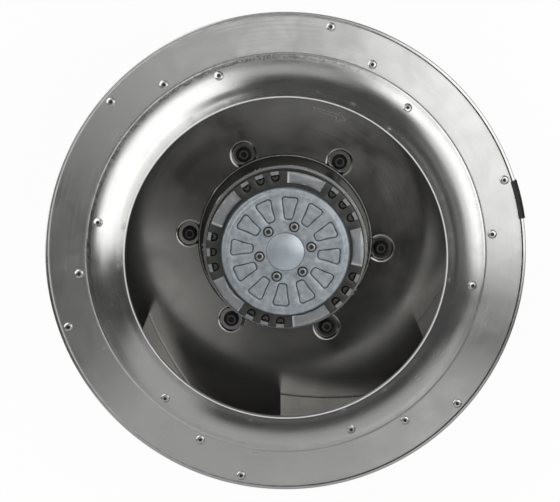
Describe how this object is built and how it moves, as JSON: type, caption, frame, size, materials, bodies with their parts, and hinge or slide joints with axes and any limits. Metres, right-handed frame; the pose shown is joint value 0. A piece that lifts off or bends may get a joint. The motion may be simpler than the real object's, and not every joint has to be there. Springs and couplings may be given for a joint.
{
  "type": "plug fan",
  "caption": "Plug fan: backward-curved centrifugal impeller with spun inlet shroud on an external-rotor motor with cast, finned electronics housing.",
  "frame": {"origin": "centre of the motor's rear mounting face, on the shaft axis", "axes": "+Z along the shaft from the mounting face to the inlet; the cable entry faces -Y"},
  "size_m": [0.507, 0.507, 0.267],
  "materials": {
    "aluminium_sheet": "spun and rolled sheet, bright satin",
    "cast_aluminium": "die-cast, blasted",
    "cover_cast": "die-cast, blue-grey",
    "dark_cast": "dark cast rotor",
    "black_steel": "black oxide",
    "bright_steel": "ground or zinc plated",
    "lamination": "stacked electrical steel",
    "ferrite": "sintered ferrite",
    "copper": "enamelled copper wire",
    "board": "glass-fibre circuit board with parts",
    "black_plastic": "moulded polyamide",
    "rubber": "flat seal",
    "cap_grey": "smooth domed cap"
  },
  "bodies": {
    "stator": {"stator_housing": "cast_aluminium", "electronics_cover": "cast_aluminium", "cover_gasket": "rubber", "circuit_board": "board", "cable_gland_1": "black_plastic", "cable_gland_2": "black_plastic", "stator_core": "lamination", "stator_winding": "copper", "front_bearing_outer": "bright_steel", "rear_bearing_outer": "bright_steel", "preload_spring": "bright_steel"},
    "impeller": {"inlet_shroud": "aluminium_sheet", "back_plate": "aluminium_sheet", "blade_1": "aluminium_sheet", "blade_2": "aluminium_sheet", "blade_3": "aluminium_sheet", "blade_4": "aluminium_sheet", "blade_5": "aluminium_sheet", "blade_6": "aluminium_sheet", "shroud_rivet_1": "bright_steel", "shroud_rivet_2": "bright_steel", "shroud_rivet_3": "bright_steel", "shroud_rivet_4": "bright_steel", "shroud_rivet_5": "bright_steel", "shroud_rivet_6": "bright_steel", "shroud_rivet_7": "bright_steel", "shroud_rivet_8": "bright_steel", "shroud_rivet_9": "bright_steel", "shroud_rivet_10": "bright_steel", "shroud_rivet_11": "bright_steel", "shroud_rivet_12": "bright_steel", "shroud_rivet_13": "bright_steel", "shroud_rivet_14": "bright_steel", "shroud_rivet_15": "bright_steel", "shroud_rivet_16": "bright_steel", "shroud_rivet_17": "bright_steel", "shroud_rivet_18": "bright_steel", "hub_bolt_1": "black_steel", "hub_bolt_2": "black_steel", "hub_bolt_3": "black_steel", "hub_bolt_4": "black_steel", "hub_bolt_5": "black_steel", "hub_bolt_6": "black_steel", "balance_clip": "black_steel", "rotor_housing": "dark_cast", "rotor_cover": "cover_cast", "cover_screw_1": "black_steel", "cover_screw_2": "black_steel", "cover_screw_3": "black_steel", "cover_screw_4": "black_steel", "cover_screw_5": "black_steel", "cover_screw_6": "black_steel", "centre_cap": "cap_grey", "magnet_ring": "ferrite", "rotor_yoke": "lamination", "rotor_shaft": "bright_steel", "front_bearing_inner": "bright_steel", "rear_bearing_inner": "bright_steel"},
    "front_cage": {"front_bearing_cage": "bright_steel"},
    "rear_cage": {"rear_bearing_cage": "bright_steel"}
  },
  "joints": [
    {"name": "rotor_spin", "type": "hinge", "parent": "stator", "child": "impeller", "pos_m": [0, 0, 0.158], "axis": [0, 0, -1], "continuous": true},
    {"name": "front_cage_spin", "type": "hinge", "parent": "stator", "child": "front_cage", "pos_m": [0, 0, 0.1585], "axis": [0, 0, -1], "continuous": true},
    {"name": "rear_cage_spin", "type": "hinge", "parent": "stator", "child": "rear_cage", "pos_m": [0, 0, 0.0694], "axis": [0, 0, -1], "continuous": true}
  ],
  "couplings": [
    {"joint": "front_cage_spin", "follows": "rotor_spin", "ratio": 0.4022},
    {"joint": "rear_cage_spin", "follows": "rotor_spin", "ratio": 0.4022}
  ]
}
